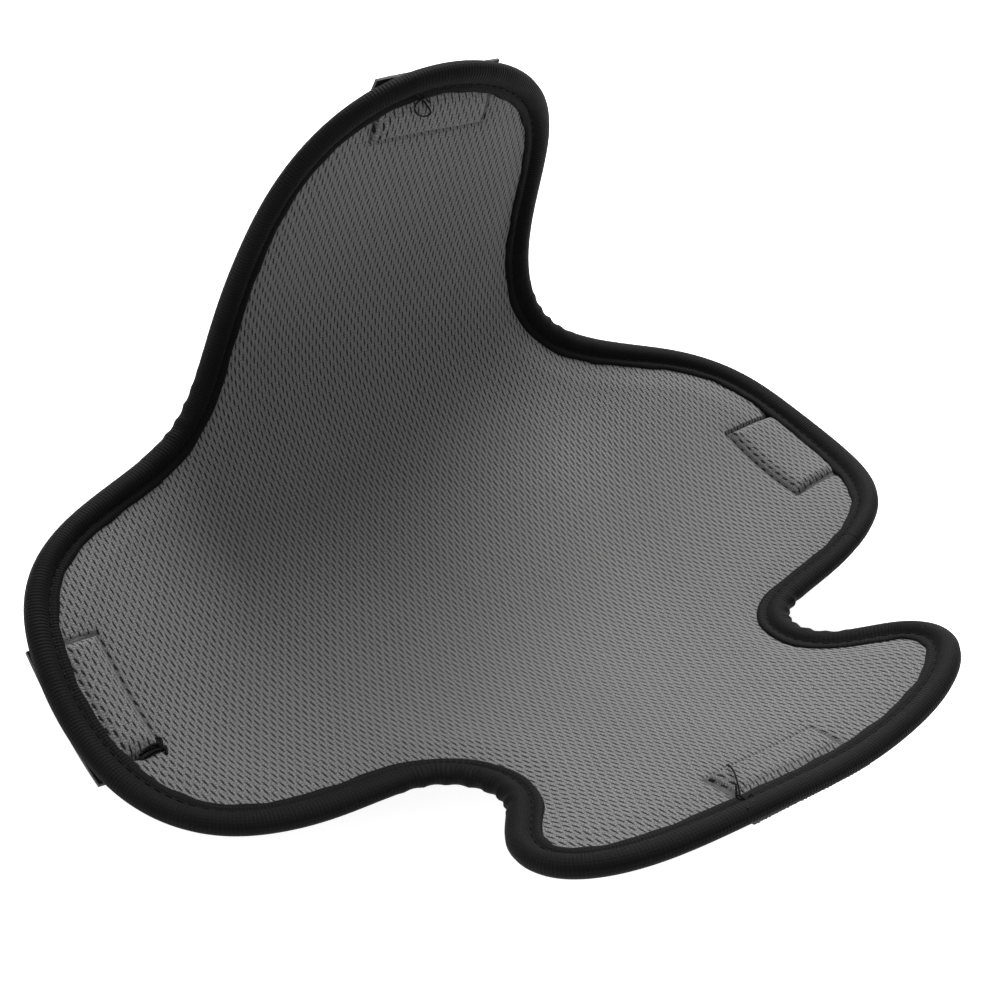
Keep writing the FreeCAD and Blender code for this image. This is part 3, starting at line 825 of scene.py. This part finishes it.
# ---------------------------------------------------------------------------
# Hook strips
# ---------------------------------------------------------------------------
def hook_strip(lobe):
    """One strip: a thin rounded plate whose back is covered with small hooks."""
    step = 1.0
    half, outer = STRIP_LONG / 2.0, STRIP_START[lobe]
    inner = outer + STRIP_WIDE
    side = np.linspace(-half, half, int(STRIP_LONG / step) + 1)
    deep = np.linspace(outer, inner, int(STRIP_WIDE / step) + 1)
    grid_side, grid_deep = np.meshgrid(side, deep)
    across, along = lobe_place(lobe, grid_side, grid_deep)
    front = -PAD_THICK - STRIP_GAP
    back = front - STRIP_PLATE
    rows, columns = grid_side.shape
    index = np.arange(rows * columns).reshape(rows, columns)
    quads = np.stack([index[:-1, :-1], index[:-1, 1:], index[1:, 1:], index[1:, :-1]], -1).reshape(-1, 4)
    rim = np.concatenate([index[0, :-1], index[:-1, -1], index[-1, :0:-1], index[:0:-1, 0]])
    count = rows * columns
    walls = np.stack([rim, np.roll(rim, -1), np.roll(rim, -1) + count, rim + count], -1)
    points = [place(across, along, front).reshape(-1, 3), place(across, along, back).reshape(-1, 3)]
    faces = [*quads[:, ::-1].tolist(), *(quads + count).tolist(), *walls.tolist()]
    flat = np.stack([across.ravel(), along.ravel()], -1)
    uvs = [flat, flat]
    base = 2 * count
    hooks_side = np.arange(-half + 1.2, half - 0.9, HOOK_PITCH)
    hooks_deep = np.arange(outer + 1.2, inner - 0.9, HOOK_PITCH)
    ring = np.array([(-1, -1), (1, -1), (1, 1), (-1, 1)])
    for row, deep_at in enumerate(hooks_deep):
        for side_at in hooks_side + (HOOK_PITCH / 2.0 if row % 2 else 0.0):
            if side_at > half - 0.8:
                continue
            lean = rng.uniform(-0.15, 0.15)
            levels = ((0.0, 0.0, 0.16), (0.55, 0.0, 0.13), (0.85, 0.18, 0.22), (0.62, 0.5, 0.08))
            for high, forward, size in levels:
                sideways = side_at + forward + ring[:, 0] * size
                a, b = lobe_place(lobe, sideways, deep_at + lean * high + ring[:, 1] * size)
                points.append(place(a, b, back - high))
                uvs.append(np.stack([a, b], -1))
            for level in range(3):
                for k in range(4):
                    low, next_low = base + level * 4 + k, base + level * 4 + (k + 1) % 4
                    faces.append([low, low + 4, next_low + 4, next_low])
            faces.append([base + 12, base + 15, base + 14, base + 13])
            base += 16
    name = "hook_strip_" + lobe
    item = new_object(name, np.concatenate(points), faces, np.concatenate(uvs), smooth_faces=False)
    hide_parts(name)
    return attach(item, LOBE_PARTS[lobe], MATERIALS["hook_tape"])


# ---------------------------------------------------------------------------
# Build the pad
# ---------------------------------------------------------------------------
laid_pieces("mesh_face", face_height, mesh_under, FACE_STEP, 5.0,
            MATERIALS["mesh_fabric"])
laid_pieces("foam", foam_top, foam_under, 4.0, 6.0, MATERIALS["foam"])
laid_pieces("back_cloth", lambda a, b, inset: back_height(a, b, inset) + BACK_THICK, back_height,
            2.0, 5.0, MATERIALS["back_cloth"])
for stretch, owner, first_place, last_place in STRETCHES:
    tape_sweep("binding_" + stretch, owner, first_place, last_place)
    binding_stitches("binding_stitch_" + stretch, owner, first_place, last_place)
for each_lobe in LOBES:
    hook_strip(each_lobe)
    patch_stitches(each_lobe)
bar_tack()
thread_ends()


# ---------------------------------------------------------------------------
# Floor, light and camera
# ---------------------------------------------------------------------------
def pale_floor():
    data = bpy.data.meshes.new("floor")
    reach = 30.0
    data.from_pydata([(-reach, -reach, -0.0006), (reach, -reach, -0.0006), (reach, reach, -0.0006),
                      (-reach, reach, -0.0006)], [], [(0, 1, 2, 3)])
    item = bpy.data.objects.new("floor", data)
    bpy.context.scene.collection.objects.link(item)
    n = Nodes("floor", 0.9, specular=0.1)
    n.shader.inputs["Base Color"].default_value = (0.92, 0.92, 0.92, 1.0)
    n.shader.inputs["Emission Color"].default_value = (1.0, 1.0, 1.0, 1.0)
    n.shader.inputs["Emission Strength"].default_value = 0.8
    data.materials.append(n.material)


def area_light(name, direction, distance, size, power):
    data = bpy.data.lights.new(name, "AREA")
    data.shape = "DISK"
    data.size = size
    data.energy = power
    item = bpy.data.objects.new(name, data)
    direction = Vector(direction).normalized()
    item.location = direction * distance
    item.rotation_mode = "QUATERNION"
    item.rotation_quaternion = direction.to_track_quat("Z", "Y")
    bpy.context.scene.collection.objects.link(item)


def studio():
    area_light("key", (0.40, 0.62, 0.68), 1.3, 0.9, 23.0)
    area_light("fill", (-0.9, -0.1, 0.6), 2.4, 1.6, 9.0)
    world = bpy.data.worlds.new("studio")
    world.use_nodes = True
    background = world.node_tree.nodes["Background"]
    background.inputs["Color"].default_value = (1.0, 1.0, 1.0, 1.0)
    background.inputs["Strength"].default_value = 0.45
    bpy.context.scene.world = world
    bpy.context.scene.view_settings.view_transform = "Standard"


def camera():
    """A short telephoto from over the pad's left, on the fan's side, turned a little."""
    data = bpy.data.cameras.new("camera")
    data.lens = 72.6
    data.sensor_width = 36.0
    item = bpy.data.objects.new("camera", data)
    right = Vector((0.76190, -0.56957, 0.30839))
    forward = Vector((0.59867, 0.43757, -0.67091))
    upward = right.cross(forward)
    turn = Matrix((right, upward, -forward)).transposed()
    item.rotation_mode = "QUATERNION"
    item.rotation_quaternion = turn.to_quaternion()
    item.location = Vector((-0.33643, -0.24318, 0.40874)) + Vector(SHIFT)
    bpy.context.scene.collection.objects.link(item)
    bpy.context.scene.camera = item


pale_floor()
studio()
camera()
